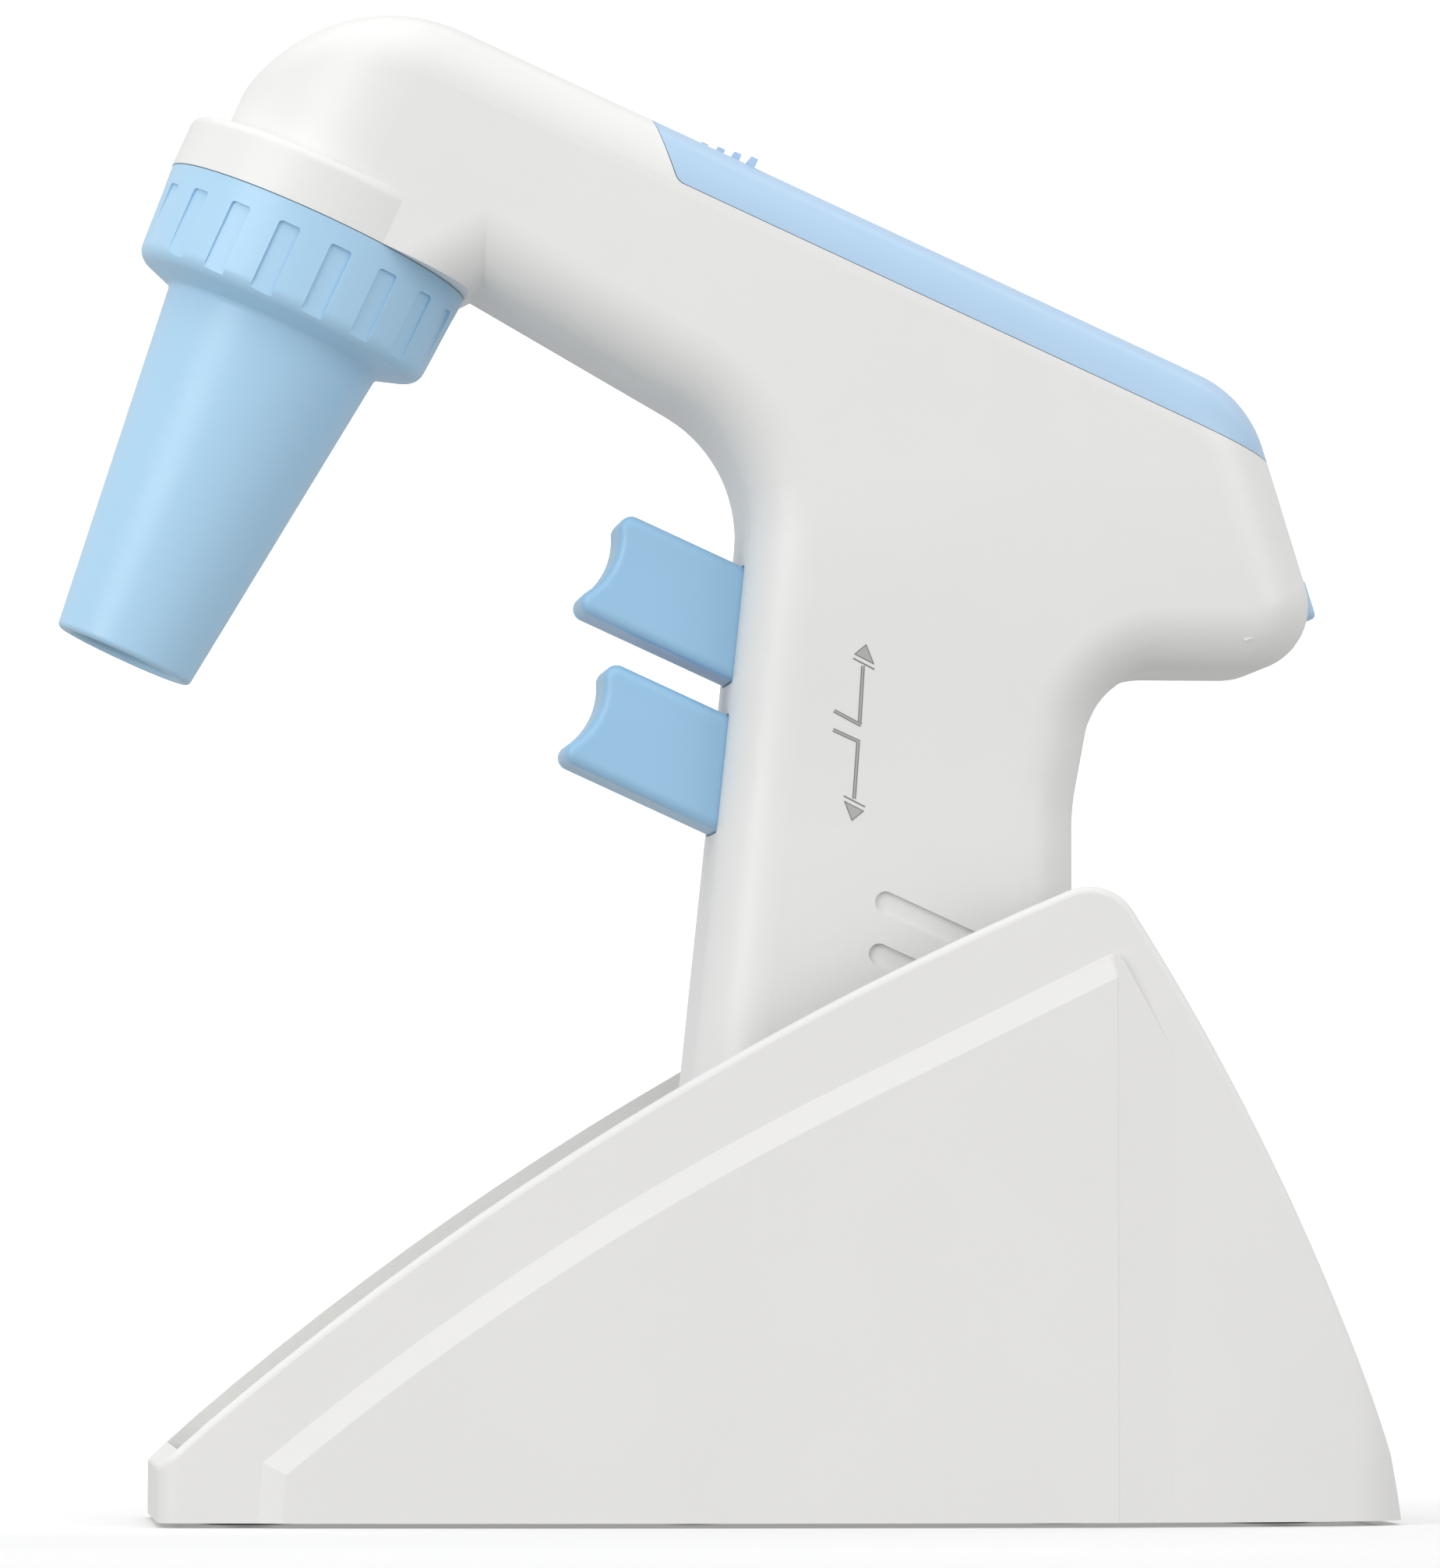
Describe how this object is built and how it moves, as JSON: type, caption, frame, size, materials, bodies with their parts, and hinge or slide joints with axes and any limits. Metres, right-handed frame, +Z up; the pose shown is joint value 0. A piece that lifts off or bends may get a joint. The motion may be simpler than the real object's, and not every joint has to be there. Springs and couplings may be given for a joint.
{
  "type": "motorised pipette controller with bench stand",
  "caption": "Cordless pistol-shaped pipette controller with two finger triggers and a screw-on nose cone, resting in a wedge-shaped bench stand.",
  "frame": {"origin": "centre of the stand's footprint, on the bench that it stands on", "axes": "+Z up, -X towards the nose cone, +X towards the stand's tall rear end, +Y to the user's far side when the nose points left"},
  "size_m": [0.1692, 0.064, 0.1915],
  "materials": {
    "body_white": "satin off-white moulded plastic with a fine texture",
    "stand_white": "matt off-white moulded plastic with a fine texture",
    "cover_blue": "satin pale blue moulded plastic",
    "cone_blue": "satin pale blue moulded plastic",
    "trigger_blue": "satin light blue moulded plastic",
    "silicone": "translucent silicone rubber",
    "filter_white": "white filter disc with hose ends",
    "grey_plastic": "grey moulded plastic",
    "dark_rubber": "black rubber",
    "steel": "zinc-plated steel",
    "spring_steel": "bare spring wire",
    "motor_steel": "nickel-plated steel",
    "brass": "turned brass",
    "cell_wrap": "printed plastic sleeve",
    "board_green": "solder-masked circuit board",
    "board_parts": "black moulded components"
  },
  "bodies": {
    "stand": {"stand_shell": "stand_white", "stand_base_plate": "stand_white", "stand_feet": "dark_rubber", "stand_screws": "steel", "stand_cradle": "stand_white"},
    "controller": {"housing_left": "body_white", "housing_right": "body_white", "housing_screws": "steel", "nose_spigot": "grey_plastic", "spigot_oring": "dark_rubber", "head_tube": "silicone", "suction_tube": "silicone", "pressure_tube": "silicone", "valve_block": "grey_plastic", "valve_seals": "dark_rubber", "micro_switches": "board_parts", "motor_can": "motor_steel", "motor_endcap": "board_parts", "motor_sleeve": "dark_rubber", "pump_base": "grey_plastic", "pump_diaphragm": "dark_rubber", "pump_valve_plate": "grey_plastic", "pump_head": "grey_plastic", "pump_screws": "steel", "battery_tray": "grey_plastic", "battery_cells": "cell_wrap", "battery_contacts": "steel", "contact_springs": "spring_steel", "main_pcb": "board_green", "pcb_parts": "board_parts", "charging_jack": "board_parts", "trigger_upper_spring": "spring_steel", "trigger_lower_spring": "spring_steel", "latch_spring": "spring_steel"},
    "upper_trigger": {"trigger_upper": "trigger_blue", "trigger_upper_stem": "steel"},
    "lower_trigger": {"trigger_lower": "trigger_blue", "trigger_lower_stem": "steel"},
    "latch": {"cover_latch": "cover_blue"},
    "cover": {"battery_cover": "cover_blue"},
    "holder": {"pipette_holder": "silicone", "membrane_filter": "filter_white"},
    "nose": {"nose_cone": "cone_blue"},
    "rotor": {"motor_shaft": "steel", "pump_eccentric": "brass"}
  },
  "joints": [
    {"name": "controller_lift", "type": "slide", "parent": "stand", "child": "controller", "axis": [0, 0, 1], "range_m": [0, 0.07]},
    {"name": "upper_trigger_press", "type": "slide", "parent": "controller", "child": "upper_trigger", "axis": [0.91, 0, -0.4147], "range_m": [0, 0.007], "stiffness_N_per_m": 300, "springref_m": -0.003, "deforming": ["trigger_upper_spring"]},
    {"name": "lower_trigger_press", "type": "slide", "parent": "controller", "child": "lower_trigger", "axis": [0.91, 0, -0.4147], "range_m": [0, 0.006], "stiffness_N_per_m": 300, "springref_m": -0.003, "deforming": ["trigger_lower_spring"]},
    {"name": "latch_press", "type": "slide", "parent": "controller", "child": "latch", "axis": [-0.9542, 0, -0.2993], "range_m": [0, 0.0012], "stiffness_N_per_m": 600, "springref_m": -0.001, "deforming": ["latch_spring"]},
    {"name": "cover_slide", "type": "slide", "parent": "controller", "child": "cover", "axis": [0.91, 0, -0.4147], "range_m": [0, 0.09]},
    {"name": "holder_slide", "type": "slide", "parent": "controller", "child": "holder", "axis": [-0.4147, 0, -0.91], "range_m": [0, 0.006]},
    {"name": "nose_unscrew", "type": "hinge", "parent": "holder", "child": "nose", "pos_m": [-0.0567, 0, 0.1648], "axis": [-0.4147, 0, -0.91], "range_deg": [0, 720]},
    {"name": "pump_spin", "type": "hinge", "parent": "controller", "child": "rotor", "pos_m": [0.0135, 0, 0.06], "axis": [0, 0, 1], "continuous": true}
  ],
  "couplings": [
    {"joint": "nose_unscrew", "follows": "holder_slide", "rad_per_m": 2094.4}
  ]
}
